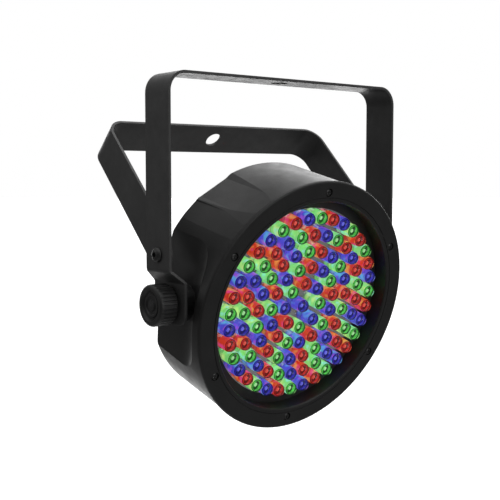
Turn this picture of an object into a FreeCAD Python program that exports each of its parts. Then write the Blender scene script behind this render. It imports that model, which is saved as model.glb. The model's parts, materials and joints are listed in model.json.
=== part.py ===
import FreeCAD, Part
import math
import os

# Slim LED par can light with a hanging yoke and a folding rear bracket.
#
# Frame: millimetres, +Z up, the light shines towards -Y, X runs along the tilt axis.
# Origin: centre of the yoke's hanging hole, on the upper face of its top bar.
# The lamp head is drawn in a frame of its own, with its origin on the tilt axis, its optical
# axis along Y and its front towards -Y, and is then tilted and dropped into the yoke.

os.makedirs("parts", exist_ok=True)
V = FreeCAD.Vector

# ---- driving dimensions, in millimetres and degrees ----------------------------------------

# both bent-strip brackets
STRIP = 2.0                 # thickness of the steel strip
STRIP_W = 28.0              # width of the strip
BEND = 13.0                 # bend radius at the middle of the strip
HANG_R = 6.4                # hanging hole in each top bar

# hanging yoke
YOKE_HALF = 107.9           # outer face of each arm
BRACKET_AXIS_Z = -123.2     # hinge of the rear bracket, below the top face
TILT_AXIS_Z = -157.3        # tilt axis of the lamp head
PAD_HALF = 98.5             # outer face of the arm below its joggle
PAD_HALF_W = 18.2           # half width of each arm's flared end
PAD_BELOW = 13.6            # flared end, below the tilt axis
PAD_CORNER = 8.0
JOGGLE_TOP = 10.5           # joggle, measured down from the bracket hinge
JOGGLE_END = 18.5
JOGGLE_BEND = 3.0

# rear bracket, which nests inside the yoke
BRACKET_HALF = 104.4        # outer face of each arm
BRACKET_REACH = 118.2       # hinge axis to the outer face of the bar
BRACKET_SWING = 44.8        # how far the bracket stands back from the yoke
NOSE_R = 10.2               # round end beyond the hinge
NOSE_TAPER = 12.0           # arm reaches full width this far from the hinge
HINGE_BOLT_R = 3.0
HINGE_HEAD_R = 5.2
HINGE_HEAD = 2.9            # height of the domed head
HINGE_TAIL = 2.2            # height of the peened tail
HINGE_WASHER_R = 7.2

# lamp head, seen in its own frame
TILT = 14.75                # front pointing down by this angle
BEZEL_R = 95.0
BEZEL_FRONT = -32.8         # y of the bezel's front face
BEZEL_THICK = 3.0           # its flange, which covers the front of the housing
BEZEL_ROUND = 1.6           # rounding of its outer edge
BEZEL_GROOVE_R = 82.6       # fine groove round the window
BEZEL_GROOVE = 0.6          # its width and depth
WINDOW_R = 79.5             # clear opening of the bezel
BEZEL_SCREW_PCR = 86.7      # radius of the bezel screw circle
DRUM_FRONT_R = 94.0         # housing radius at its front rim
DRUM_REAR_R = 93.0          # housing radius at its rear rim
DRUM_REAR = 31.0            # y of the rear rim
WALL = 2.5                  # housing wall
FLAT_HALF = 85.0            # half width across the hollow sides, level with the tilt axis
FLAT_BOW_R = 300.0          # they bow outwards a little, about lines along the optical axis
COVE_START = -0.5           # y where the flat side begins to curve out
COVE_RUN = 22.0             # length of that curve along the axis
COVE_RISE = 8.7             # how far it curves out
DART_DEPTH = 2.3            # depth of the tapered creases at the rear rim
PIVOT_HALF = 94.9           # end face of each pivot boss
PIVOT_R = 13.0
INSERT_R = 6.5              # threaded insert in each pivot boss
INSERT_TIP = 72.0           # its inner end
INSERT_SLEEVE_R = 10.0      # the boss round it inside the housing

# light engine
LED_PITCH = 12.4            # spacing of the LED rings
LED_FIRST_RING = 16.9
LED_R = 5.0
LED_TIP = 1.0               # dome tips, behind the bezel's front face
LED_FLANGE = 1.0            # height of the flange that rests on the board
LED_FLANGE_R = 5.6
LED_HOLE_R = 5.35           # holes of the LED plate and the reflector
PLATE_FRONT = 12.4          # front of the LED plate, behind the bezel's front face
PLATE_THICK = 2.0
BOARD_THICK = 1.6
BOARD_GAP = 1.4             # LED plate to LED board
REFLECTOR_R = 72.4          # polished foil round the LEDs
REFLECTOR_THICK = 0.3

# knobs
KNOB_R = 14.4
KNOB_OUT = 114.7            # outer face of each knob
KNOB_IN = 100.9             # inner end of the knurled part
KNOB_RIDGES = 32
RIDGE_DEPTH = 0.9
KNOB_RING_R = 7.2           # raised ring in the dished face
KNOB_HUB_R = 3.6            # raised hub in its middle
KNOB_COLLAR_R = 9.0         # smooth collar between the ridges and the washer
KNOB_WASHER = 1.5           # thickness of the washer
KNOB_WASHER_R = 11.0
STUD_R = 4.0                # M8 stud
STUD_TIP = 74.0             # inner end of the stud
STUD_SEAT = 9.0             # how far the stud is moulded into the knob

# fits
RUN = 0.05                  # radial clearance of turning shafts
GAP = 0.3                   # side clearance of loose pieces

# ---- helpers --------------------------------------------------------------------------------

X_AXIS = V(1, 0, 0)
Y_AXIS = V(0, 1, 0)
Z_AXIS = V(0, 0, 1)


def rod(radius, start, end, at=(0, 0), axis="Y"):
    """Cylinder from start to end along an axis; at gives the other two coordinates in order."""
    a, b = at
    base = {"X": V(start, a, b), "Y": V(a, start, b), "Z": V(a, b, start)}[axis]
    way = {"X": X_AXIS, "Y": Y_AXIS, "Z": Z_AXIS}[axis]
    if end < start:
        way = way * -1
    return Part.makeCylinder(radius, abs(end - start), base, way)


def ring(outer, inner, start, end, at=(0, 0), axis="Y"):
    """Hollow cylinder."""
    low, high = sorted((start, end))
    return rod(outer, low, high, at, axis).cut(rod(inner, low - 1, high + 1, at, axis))


def block(x, y, z):
    """Box given as three (low, high) pairs."""
    size = [high - low for low, high in (x, y, z)]
    return Part.makeBox(size[0], size[1], size[2], V(x[0], y[0], z[0]))


def plate(width, height, y0, y1, at=(0, 0), corner=0.0):
    """Upright plate in the XZ plane with rounded corners, centred on at."""
    x, z = at
    body = block((x - width / 2, x + width / 2), (y0, y1), (z - height / 2, z + height / 2))
    if corner:
        edges = [e for e in body.Edges if abs(e.tangentAt(e.FirstParameter).y) > 0.9]
        body = body.makeFillet(corner, edges)
    return body


def lathe(points, axis="Y", at=(0, 0)):
    """Solid turned from (radius, position) corners; a three-item corner is an arc's middle."""
    def place(radius, along):
        if axis == "X":
            return V(along, radius, 0)
        return V(radius, along, 0)

    edges = []
    last = points[0]
    middle = None
    for point in list(points[1:]) + [points[0]]:
        if len(point) == 3:
            middle = point
            continue
        if middle:
            arc = Part.Arc(place(*last), place(middle[0], middle[1]), place(*point))
            edges.append(arc.toShape())
        elif place(*last).distanceToPoint(place(*point)) > 1e-6:
            edges.append(Part.makeLine(place(*last), place(*point)))
        last = point
        middle = None
    face = Part.Face(Part.Wire(edges))
    body = face.revolve(V(0, 0, 0), X_AXIS if axis == "X" else Y_AXIS, 360)
    if axis == "X":
        body.translate(V(0, at[0], at[1]))
    else:
        body.translate(V(at[0], 0, at[1]))
    return body


def rounded_route(points, radii):
    """Wire of straight runs joined by tangent arcs; radii holds one value per inner point."""
    edges = []
    here = V(*points[0])
    for i, radius in enumerate(radii, start=1):
        corner = V(*points[i])
        back = (V(*points[i - 1]) - corner).normalize()
        ahead = (V(*points[i + 1]) - corner).normalize()
        half = back.getAngle(ahead) / 2
        reach = radius / math.tan(half)
        middle = (back + ahead).normalize() * (radius / math.sin(half) - radius)
        first = corner + back * reach
        final = corner + ahead * reach
        if (first - here).Length > 1e-6:
            edges.append(Part.makeLine(here, first))
        edges.append(Part.Arc(first, corner + middle, final).toShape())
        here = final
    edges.append(Part.makeLine(here, V(*points[-1])))
    return Part.Wire(edges)


def bent_strip(points, radii, width):
    """Flat strip bent along a route in the XZ plane that begins by going up."""
    x, _, z = points[0]
    corners = [(-STRIP / 2, -width / 2), (STRIP / 2, -width / 2),
               (STRIP / 2, width / 2), (-STRIP / 2, width / 2)]
    section = Part.makePolygon([V(x + dx, dy, z) for dx, dy in corners + corners[:1]])
    return rounded_route(points, radii).makePipeShell([section], True, False)


def wire_tube(points, radius):
    """Round lead along a route, each bend as large as its runs allow."""
    radii = []
    for before, here, after in zip(points, points[1:], points[2:]):
        a = V(*before) - V(*here)
        b = V(*after) - V(*here)
        turn = math.pi - a.getAngle(b)
        radii.append(0.45 * min(a.Length, b.Length) / math.tan(turn / 2))
    route = rounded_route(points, radii)
    start = V(*points[0])
    section = Part.Wire([Part.makeCircle(radius, start, V(*points[1]) - start)])
    print("bend radii", [round(r, 1) for r in radii])
    return route.makePipeShell([section], True, False)


def merge(shapes):
    """One clean solid from overlapping shapes."""
    return shapes[0].multiFuse(shapes[1:]).removeSplitter()


def mirrored(shape):
    return shape.mirror(V(0, 0, 0), X_AXIS)


def both_sides(shape):
    return Part.makeCompound([shape, mirrored(shape)])


def save(name, shape):
    """Write one node in the row frame."""
    bad = [s for s in shape.Solids if not s.isValid()]
    if bad or not shape.Solids:
        print("CHECK", name, len(shape.Solids), "solids", len(bad), "bad")
    shape.exportStep("parts/%s.step" % name)


def save_head(name, shape):
    """Write one node that is drawn in the lamp head's frame."""
    placed = shape.copy()
    placed.rotate(V(0, 0, 0), X_AXIS, TILT)
    placed.translate(V(0, 0, TILT_AXIS_Z))
    save(name, placed)


def polar(radius, degrees):
    """(x, z) at an angle measured from +X towards +Z."""
    angle = math.radians(degrees)
    return radius * math.cos(angle), radius * math.sin(angle)


# ---- brackets -------------------------------------------------------------------------------

def through_arms(corners):
    """Prism along X with the side outline given as (y, z) corners, to trim both arms at once."""
    points = [V(-YOKE_HALF - 1, y, z) for y, z in corners]
    return Part.Face(Part.makePolygon(points + points[:1])).extrude(V(2 * YOKE_HALF + 2, 0, 0))


def hanging_yoke():
    side = YOKE_HALF - STRIP / 2
    pad = PAD_HALF - STRIP / 2
    top = -STRIP / 2
    bottom = TILT_AXIS_Z - PAD_BELOW
    joggle_top = BRACKET_AXIS_Z - JOGGLE_TOP
    joggle_end = BRACKET_AXIS_Z - JOGGLE_END
    left = [(-pad, 0, bottom), (-pad, 0, joggle_end), (-side, 0, joggle_top), (-side, 0, top)]
    right = [(-x, y, z) for x, y, z in reversed(left)]
    radii = [JOGGLE_BEND, JOGGLE_BEND, BEND, BEND, JOGGLE_BEND, JOGGLE_BEND]
    strip = bent_strip(left + right, radii, 2 * PAD_HALF_W)
    half = STRIP_W / 2
    outline = through_arms([
        (-PAD_HALF_W, bottom), (PAD_HALF_W, bottom), (PAD_HALF_W, joggle_end), (half, joggle_top),
        (half, 1), (-half, 1), (-half, joggle_top), (-PAD_HALF_W, joggle_end)])
    corners = [e for e in outline.Edges if abs(e.tangentAt(e.FirstParameter).x) > 0.9
               and e.CenterOfMass.z < bottom + 1]
    yoke = strip.common(outline.makeFillet(PAD_CORNER, corners))
    yoke = yoke.cut(rod(HANG_R, -STRIP - 1, 1, (0, 0), "Z"))
    yoke = yoke.cut(rod(STUD_R + 0.4, -YOKE_HALF, YOKE_HALF, (0, TILT_AXIS_Z), "X"))
    return yoke.cut(rod(HINGE_BOLT_R, -YOKE_HALF - 1, YOKE_HALF + 1, (0, BRACKET_AXIS_Z), "X"))


def rear_bracket():
    side = BRACKET_HALF - STRIP / 2
    top = BRACKET_REACH - STRIP / 2
    left = [(-side, 0, -STRIP_W), (-side, 0, top)]
    right = [(-x, y, z) for x, y, z in reversed(left)]
    strip = bent_strip(left + right, [BEND, BEND], STRIP_W)
    half = STRIP_W / 2
    # tangent of the tapered nose, worked out from the point where the arm is full width
    span = math.hypot(half, NOSE_TAPER)
    lean = math.atan2(NOSE_TAPER, half) - math.acos(NOSE_R / span)
    touch = V(0, NOSE_R * math.cos(lean), NOSE_R * math.sin(lean))
    corners = [touch, V(0, half, NOSE_TAPER), V(0, half + 1, NOSE_TAPER), V(0, half + 1, top + 9),
               V(0, -half - 1, top + 9), V(0, -half - 1, NOSE_TAPER), V(0, -half, NOSE_TAPER),
               V(0, -touch.y, touch.z)]
    nose = Part.Arc(corners[-1], V(0, 0, -NOSE_R), corners[0]).toShape()
    outline = Part.Face(Part.Wire([Part.makePolygon(corners), nose]))
    outline.translate(V(-YOKE_HALF, 0, 0))
    bracket = strip.common(outline.extrude(V(2 * YOKE_HALF, 0, 0)))
    bracket = bracket.cut(rod(HINGE_BOLT_R + RUN, -YOKE_HALF, YOKE_HALF, (0, 0), "X"))
    bracket = bracket.cut(rod(HANG_R, 0, top + 9, (0, 0), "Z"))
    return in_bracket_place(bracket)


def in_bracket_place(shape):
    """From upright on the hinge axis to its place, swung back."""
    placed = shape.copy()
    placed.rotate(V(0, 0, 0), X_AXIS, -BRACKET_SWING)
    placed.translate(V(0, 0, BRACKET_AXIS_Z))
    return placed


def hinge_bolt():
    """Button-headed shoulder bolt, right side, with a hexagon socket and a peened tail."""
    inner = BRACKET_HALF - STRIP - RUN
    head = lathe([(0, YOKE_HALF), (HINGE_HEAD_R, YOKE_HALF), (HINGE_HEAD_R, YOKE_HALF + 0.7),
                  (4.3, YOKE_HALF + 2.1, "arc"), (2.4, YOKE_HALF + HINGE_HEAD),
                  (0, YOKE_HALF + HINGE_HEAD)], "X")
    socket = [V(YOKE_HALF + 1.2, *polar(2.0, 60 * i)) for i in range(7)]
    socket = Part.Face(Part.makePolygon(socket)).extrude(V(5, 0, 0))
    shank = rod(HINGE_BOLT_R, inner - 0.5, YOKE_HALF, (0, 0), "X")
    tail = lathe([(0, inner), (4.6, inner), (4.4, inner - 0.9), (3.2, inner - HINGE_TAIL),
                  (0, inner - HINGE_TAIL)], "X")
    bolt = merge([head.cut(socket), shank, tail])
    bolt.translate(V(0, 0, BRACKET_AXIS_Z))
    return bolt


def hinge_washer():
    outer = YOKE_HALF - STRIP
    return ring(HINGE_WASHER_R, HINGE_BOLT_R + RUN, BRACKET_HALF + RUN, outer, (0, BRACKET_AXIS_Z), "X")


# ---- tilt knobs -----------------------------------------------------------------------------

def knob_washer():
    return ring(KNOB_WASHER_R, STUD_R + GAP, PAD_HALF, PAD_HALF + KNOB_WASHER, (0, TILT_AXIS_Z), "X")


def knob():
    """Right-hand clamp knob: a ridged grip with a ring and a hub in its dished face, and a collar."""
    grip_points = []
    for i in range(KNOB_RIDGES):
        valley = KNOB_R - RIDGE_DEPTH
        for step, radius in ((0.0, KNOB_R), (0.42, KNOB_R), (0.56, valley), (0.86, valley)):
            y, z = polar(radius, (i + step) * 360 / KNOB_RIDGES)
            grip_points.append(V(KNOB_IN, y, z))
    grip = Part.Face(Part.makePolygon(grip_points + grip_points[:1]))
    grip = grip.extrude(V(KNOB_OUT - KNOB_IN, 0, 0))
    rim = 2.0
    dish = KNOB_OUT - 2.0
    form = lathe([(0, KNOB_IN), (KNOB_R - 0.8, KNOB_IN), (KNOB_R, KNOB_IN + 1.0),
                  (KNOB_R, KNOB_OUT - rim), (KNOB_R - 0.6, KNOB_OUT - 0.6, "arc"),
                  (KNOB_R - rim, KNOB_OUT), (KNOB_R - 3.6, KNOB_OUT), (KNOB_R - 4.8, dish),
                  (KNOB_RING_R + 1.2, dish), (KNOB_RING_R + 0.7, dish + 0.9),
                  (KNOB_RING_R - 0.7, dish + 0.9), (KNOB_RING_R - 1.2, dish),
                  (KNOB_HUB_R + 0.5, dish), (KNOB_HUB_R, dish + 0.9), (0, dish + 1.2)], "X")
    # a smooth band behind the rounded outer rim
    band = rod(KNOB_R - 0.25, KNOB_OUT - 3.4, KNOB_OUT, (0, 0), "X")
    body = merge([grip, band]).common(form)
    seat = PAD_HALF + KNOB_WASHER + RUN
    collar = rod(KNOB_COLLAR_R, seat, KNOB_IN + 0.5, (0, 0), "X")
    body = merge([body, collar]).cut(rod(STUD_R, seat - 1, seat + STUD_SEAT, (0, 0), "X"))
    body.translate(V(0, 0, TILT_AXIS_Z))
    return body


def knob_stud():
    """M8 stud moulded into the knob, with a chamfered tip."""
    seat = PAD_HALF + KNOB_WASHER + RUN
    stud = lathe([(0, STUD_TIP), (STUD_R - 1, STUD_TIP), (STUD_R, STUD_TIP + 1),
                  (STUD_R, seat + STUD_SEAT), (0, seat + STUD_SEAT)], "X")
    stud.translate(V(0, 0, TILT_AXIS_Z))
    return stud


# ---- housing --------------------------------------------------------------------------------

BEZEL_BACK = BEZEL_FRONT + BEZEL_THICK
GASKET = 0.6
DRUM_FRONT = BEZEL_BACK + GASKET
COVER_THICK = 2.0
COVER_IN = DRUM_REAR - COVER_THICK
SCREW_ANGLES = [30 + 60 * i for i in range(6)]
BOSS_R = 4.4                # screw bosses
PILOT_R = 1.4               # their screw holes
FRONT_BOSS = 22.0           # depth of the front bosses
REAR_BOSS = 14.0            # depth of the rear bosses
COVER_SCREW_ANGLES = [55, 90, 125, 235, 270, 305]
COVER_SCREW_PCR = 82.0
REAR_ROUND = 1.2            # rounding of the rear rim
SINK_R = 3.1                # sunk seats of the bezel screws
SINK = 1.4                  # their depth
SCREW_HOLE_R = 1.7


def drum(inset, front, rear, rear_round=0.0):
    """Tapered round body; inset moves every outer surface inwards."""
    slope = (DRUM_REAR_R - DRUM_FRONT_R) / (DRUM_REAR - DRUM_FRONT)
    front_r = DRUM_FRONT_R - inset + slope * (front - DRUM_FRONT)
    rear_r = DRUM_FRONT_R - inset + slope * (rear - DRUM_FRONT)
    corners = [(0, front), (front_r, front)]
    if rear_round:
        corners += [(rear_r, rear - rear_round),
                    (rear_r - 0.3 * rear_round, rear - 0.3 * rear_round, "arc"),
                    (rear_r - rear_round, rear)]
    else:
        corners += [(rear_r, rear)]
    body = lathe(corners + [(0, rear)])
    for side in (-1, 1):
        body = body.cut(flat_cutter(side, inset))
        for crease in creases(side, inset):
            body = body.cut(crease)
    return body


def flat_cutter(side, inset):
    """Hollows one side: slightly bowed from the rear, then curving out to full width in front."""
    flat = side * (FLAT_HALF - inset)
    out = side * (FLAT_HALF + COVE_RISE - inset)
    far = side * (BEZEL_R + 20)
    start = COVE_START - inset
    end = start - COVE_RUN
    rear = DRUM_REAR + 20
    at_front = V(out, end, 0)
    at_flat = V(flat, start, 0)
    curve = Part.Ellipse(at_front, at_flat, V(out, start, 0))
    cove = Part.ArcOfEllipse(curve, 0, math.pi / 2).toShape()
    path = Part.makePolygon([at_flat, V(flat, rear, 0), V(far, rear, 0), V(far, end, 0), at_front])
    face = Part.Face(Part.Wire([cove] + path.Edges))
    bow_axis = V(side * (FLAT_HALF - FLAT_BOW_R), 0, 0)
    half_sweep = 16.0
    face.rotate(bow_axis, Y_AXIS, -half_sweep)
    return face.revolve(bow_axis, Y_AXIS, 2 * half_sweep)


def creases(side, inset):
    """Facets that deepen towards the rear, which leave tapered creases between the side panels."""
    outside = BEZEL_R + 8
    rear = DRUM_REAR + 12
    front = BEZEL_BACK + 1
    # corners as (angle at the front, angle at the rear, radius below the surface at the rear)
    upper = [(62.2, 66.5, 0.2), (61.6, 62.2, DART_DEPTH), (47.2, 47.0, 0.62 * DART_DEPTH), (46.6, 44.4, 0.2)]
    lower = [(46.4, 44.2, 0.2), (46.0, 43.6, 0.45 * DART_DEPTH), (32.0, 34.0, 0.1), (31.0, 31.0, 0.1)]
    cutters = []
    for panel in (upper, lower):
        middle = (panel[1][0] + panel[2][0]) / 2
        sections = []
        for y, column in ((front, 0), (rear, 1)):
            corners = []
            for corner in panel:
                angle = corner[column]
                if column == 0:
                    radius = DRUM_FRONT_R + 0.5 / math.cos(math.radians(angle - middle))
                else:
                    stretch = (rear - front) / (DRUM_REAR - front)
                    radius = DRUM_REAR_R - corner[2] * stretch
                corners.append((radius - inset, angle))
            corners = [(outside, corners[0][1])] + corners + [(outside, corners[-1][1])]
            points = []
            for radius, angle in corners:
                x, z = polar(radius, angle)
                points.append(V(side * x, y, z))
            sections.append(Part.makePolygon(points + points[:1]))
        cutters.append(Part.makeLoft(sections, True, True))
    return cutters


def housing_shell():
    outer = drum(0, DRUM_FRONT, DRUM_REAR, REAR_ROUND)
    inner = drum(WALL, DRUM_FRONT - 5, DRUM_REAR + 5)
    pieces = [outer.cut(inner)]
    envelope = drum(0.6, DRUM_FRONT, COVER_IN)
    # front screw bosses
    for angle in SCREW_ANGLES:
        boss = rod(BOSS_R, DRUM_FRONT, DRUM_FRONT + FRONT_BOSS, polar(BEZEL_SCREW_PCR, angle))
        pieces.append(boss.common(envelope))
    for angle in SCREW_ANGLES:
        pieces.append(board_lug(angle).common(envelope))
    # rear screw bosses, which also carry the rear cover
    for angle in COVER_SCREW_ANGLES:
        boss = rod(BOSS_R, COVER_IN - REAR_BOSS, COVER_IN, polar(COVER_SCREW_PCR, angle))
        web = rod(BOSS_R, COVER_IN - REAR_BOSS, COVER_IN, polar(COVER_SCREW_PCR + BOSS_R, angle))
        pieces.append(merge([boss, web]).common(envelope))
    # pivot bosses and the insert sleeves behind them
    for side in (-1, 1):
        pieces.append(rod(PIVOT_R, side * (FLAT_HALF - WALL / 2), side * PIVOT_HALF, (0, 0), "X"))
        pieces.append(rod(INSERT_SLEEVE_R, side * INSERT_TIP, side * FLAT_HALF, (0, 0), "X"))
    shell = merge(pieces)
    for side in (-1, 1):
        shell = shell.cut(rod(INSERT_R, side * (INSERT_TIP - 1), side * (PIVOT_HALF + 1), (0, 0), "X"))
    for angle in SCREW_ANGLES:
        shell = shell.cut(rod(PILOT_R, DRUM_FRONT - 1, DRUM_FRONT + 14, polar(BEZEL_SCREW_PCR, angle)))
    for angle in COVER_SCREW_ANGLES:
        at = polar(COVER_SCREW_PCR, angle)
        shell = shell.cut(rod(PILOT_R, COVER_IN - REAR_BOSS + 4, DRUM_REAR + 1, at))
    return shell


def pivot_insert():
    """Brass threaded insert in the right pivot boss, with a groove that locks it."""
    sleeve = ring(INSERT_R, STUD_R + RUN, INSERT_TIP, PIVOT_HALF - 0.3, (0, 0), "X")
    groove = ring(INSERT_R + 1, INSERT_R - 0.6, INSERT_TIP + 9, INSERT_TIP + 12, (0, 0), "X")
    return sleeve.cut(groove)


def friction_disc():
    """Fibre disc between the right pivot boss and the yoke's pad."""
    return ring(PIVOT_R, STUD_R + 0.4, PIVOT_HALF, PAD_HALF - STRIP - RUN, (0, 0), "X")


def bezel_ring():
    lip = BEZEL_FRONT + PLATE_FRONT
    round_in = 1.2
    body = lathe([
        (WINDOW_R, lip), (WINDOW_R, BEZEL_FRONT + round_in),
        (WINDOW_R + 0.3 * round_in, BEZEL_FRONT + 0.3 * round_in, "arc"),
        (WINDOW_R + round_in, BEZEL_FRONT), (BEZEL_R - BEZEL_ROUND, BEZEL_FRONT),
        (BEZEL_R - 0.29 * BEZEL_ROUND, BEZEL_FRONT + 0.29 * BEZEL_ROUND, "arc"),
        (BEZEL_R, BEZEL_FRONT + BEZEL_ROUND), (BEZEL_R, BEZEL_BACK - 0.4), (BEZEL_R - 0.4, BEZEL_BACK),
        (BEZEL_SCREW_PCR - 4.9, BEZEL_BACK), (BEZEL_SCREW_PCR - 4.9, lip)])
    groove = ring(BEZEL_GROOVE_R + BEZEL_GROOVE, BEZEL_GROOVE_R, BEZEL_FRONT - 1, BEZEL_FRONT + BEZEL_GROOVE)
    body = body.cut(groove)
    for angle in SCREW_ANGLES:
        at = polar(BEZEL_SCREW_PCR, angle)
        body = body.cut(rod(SINK_R, BEZEL_FRONT - 1, BEZEL_FRONT + SINK, at))
        body = body.cut(rod(SCREW_HOLE_R, BEZEL_FRONT, BEZEL_BACK + 1, at))
    return body


def screw(radius, head_r, head, length, under_head, at, facing=-1):
    """Pan-head screw along Y with a cross recess; facing -1 puts its head towards -Y."""
    top = under_head + facing * head
    profile = [(0, top), (0.55 * head_r, top), (0.86 * head_r, top - facing * 0.3 * head, "arc"),
               (head_r, top - facing * 0.75 * head), (head_r, under_head), (radius, under_head),
               (radius, under_head - facing * length), (0, under_head - facing * length)]
    body = lathe(profile, "Y", at)
    arm = 0.62 * head_r
    slot = 0.16 * head_r
    depth = 0.55 * head
    low, high = sorted((top + facing, top - facing * depth))
    x, z = at
    body = body.cut(block((x - arm, x + arm), (low, high), (z - slot, z + slot)))
    return body.cut(block((x - slot, x + slot), (low, high), (z - arm, z + arm)))


def bezel_screws():
    seat = BEZEL_FRONT + SINK
    made = [screw(PILOT_R, 2.7, 1.2, 14.0, seat, polar(BEZEL_SCREW_PCR, a)) for a in SCREW_ANGLES]
    return Part.makeCompound(made)


def bezel_gasket():
    return ring(DRUM_FRONT_R - 0.8, DRUM_FRONT_R - WALL + GAP, BEZEL_BACK, DRUM_FRONT)


# ---- light engine ---------------------------------------------------------------------------

PLATE_Y = BEZEL_FRONT + PLATE_FRONT
PLATE_BACK = PLATE_Y + PLATE_THICK
BOARD_Y = PLATE_BACK + BOARD_GAP
BOARD_BACK = BOARD_Y + BOARD_THICK
BOARD_R = 77.0
PLATE_R = 80.8
POST_PCR = 74.3             # posts that hold the LED board
SPACER_PCR = 75.0           # sleeves between the LED plate and the board
SHELF_Y = -6.0              # front of the housing lugs that carry the posts
SHELF_THICK = 3.0

# one letter per LED, clockwise from the first LED of each ring: red, green or blue
RING_COLOURS = [
    "B",
    "BGRBGRBG",
    "BGR" * 5,
    "GRB" * 6 + "GBR",
    "BGR" * 8 + "BRGR",
    "BGR" * 10 + "GRBGR",
]
# where the first LED of each ring stands, in degrees clockwise from the right, seen from in front
RING_PHASES = [0.0, 43.0, 11.3, 8.5, 12.0, 15.2]


def led_places():
    """(colour letter, x, z) of every LED."""
    places = []
    for index, (colours, phase) in enumerate(zip(RING_COLOURS, RING_PHASES)):
        radius = LED_FIRST_RING + (index - 1) * LED_PITCH if index else 0.0
        for i, colour in enumerate(colours):
            x, z = polar(radius, -(phase + i * 360 / len(colours)))
            places.append((colour, x, z))
    return places


def led():
    """Round LED standing on the board: flange, barrel and dome."""
    tip = BEZEL_FRONT + LED_TIP
    centre = tip + LED_R
    slant = LED_R * math.sin(math.radians(45))
    profile = [(0, tip), (slant, centre - slant, "arc"), (LED_R, centre), (LED_R, BOARD_Y - LED_FLANGE),
               (LED_FLANGE_R, BOARD_Y - LED_FLANGE), (LED_FLANGE_R, BOARD_Y), (0, BOARD_Y)]
    return lathe(profile)


def led_group(letter):
    one = led()
    made = []
    for colour, x, z in led_places():
        if colour == letter:
            copy = one.copy()
            copy.translate(V(x, 0, z))
            made.append(copy)
    return Part.makeCompound(made)


def with_led_holes(disc):
    holes = [rod(LED_HOLE_R, PLATE_Y - 1, PLATE_BACK + 1, (x, z)) for _, x, z in led_places()]
    return disc.cut(Part.makeCompound(holes))


def led_plate():
    """Black plate that the LEDs look through; its rim bears on the bezel's inner lip."""
    return with_led_holes(rod(PLATE_R, PLATE_Y, PLATE_BACK))


def led_reflector():
    """Polished foil on the front of the LED plate."""
    return with_led_holes(rod(REFLECTOR_R, PLATE_Y - REFLECTOR_THICK, PLATE_Y))


def led_board():
    board = rod(BOARD_R, BOARD_Y, BOARD_BACK)
    for angle in SCREW_ANGLES:
        board = board.cut(rod(1.6, BOARD_Y - 1, BOARD_BACK + 1, polar(POST_PCR, angle)))
    return board


def board_posts():
    """Hexagonal posts between the housing lugs and the LED board, with studs through the board."""
    made = []
    for angle in SCREW_ANGLES:
        x, z = polar(POST_PCR, angle)
        corners = []
        for i in range(7):
            dx, dz = polar(2.6, 60 * i)
            corners.append(V(x + dx, BOARD_BACK, z + dz))
        post = Part.Face(Part.makePolygon(corners)).extrude(V(0, SHELF_Y - BOARD_BACK, 0))
        made.append(merge([post, rod(1.5, BOARD_Y + 0.1, BOARD_BACK + 1, (x, z))]))
    return Part.makeCompound(made)


def plate_spacers():
    """Short sleeves that keep the LED plate off the board."""
    made = [ring(1.9, 1.1, PLATE_BACK, BOARD_Y, polar(SPACER_PCR, angle + 30)) for angle in SCREW_ANGLES]
    return Part.makeCompound(made)


def board_lug(angle):
    """Radial lug on the housing's inner wall, behind the LED board."""
    lug = block((POST_PCR - 4, 89.5), (SHELF_Y, SHELF_Y + SHELF_THICK), (-4, 4))
    lug.rotate(V(0, 0, 0), Y_AXIS, -angle)
    return lug


# ---- rear cover and what it carries ---------------------------------------------------------

DISPLAY_AT = (0, 52)
DISPLAY_SIZE = (38.0, 16.0)
BUTTON_NAMES = ["menu_button", "up_button", "down_button", "enter_button"]
BUTTON_PITCH = 17.0
BUTTON_Z = 31.0
BUTTON_SIZE = (8.0, 5.0)
MIC_AT = (36, 52)
DATA_IN_AT = (-50, -2)
DATA_OUT_AT = (50, -2)
DATA_FLANGE = (26.0, 31.0)
DATA_BODY_R = 11.0
DATA_BORE_R = 9.7           # bore of the output socket
DATA_CORE_R = 8.0           # its insert, and the cavity of the input socket
DATA_PIN_ANGLES = [150, 30, 270]
DATA_PIN_PCR = 4.9
LATCH_NOTCH = 11.3          # bottom of the latch's notch, above the socket's centre
LATCH_TRAVEL = 1.2
POWER_IN_AT = (-28, -50)
POWER_OUT_AT = (28, -50)
POWER_FLANGE = (50.0, 23.0)
POWER_BODY = (28.0, 20.0)
POWER_BORE = (25.4, 17.4)   # bore of the outlet
POWER_CORE = (21.4, 13.4)   # its insert
BLADES = [(-7, -1.5), (7, -1.5), (0, 3.0)]     # contacts of a three-blade appliance coupler
FUSE_AT = (0, -23)
FUSE_R = 6.0
FUSE_BORE_R = 4.6
FUSE_CAP_R = 7.0
LOOP_AT = (0, 69)
LOOP_HALF = 9.0             # half the spacing of the safety loop's legs
LOOP_R = 2.0
FLANGE_THICK = 2.0
VENT_COUNT = 7
VENT_PITCH = 6.0
VENT_AT_Z = 4.0


def button_places():
    return [((i - 1.5) * BUTTON_PITCH, BUTTON_Z) for i in range(len(BUTTON_NAMES))]


def socket_screw_places():
    """(x, z) of the small screws that hold the sockets to the cover."""
    places = []
    for x, z in (DATA_IN_AT, DATA_OUT_AT):
        places += [(x - 9.5, z + 12), (x + 9.5, z - 12)]
    for x, z in (POWER_IN_AT, POWER_OUT_AT):
        places += [(x - 20, z), (x + 20, z)]
    return places


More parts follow.
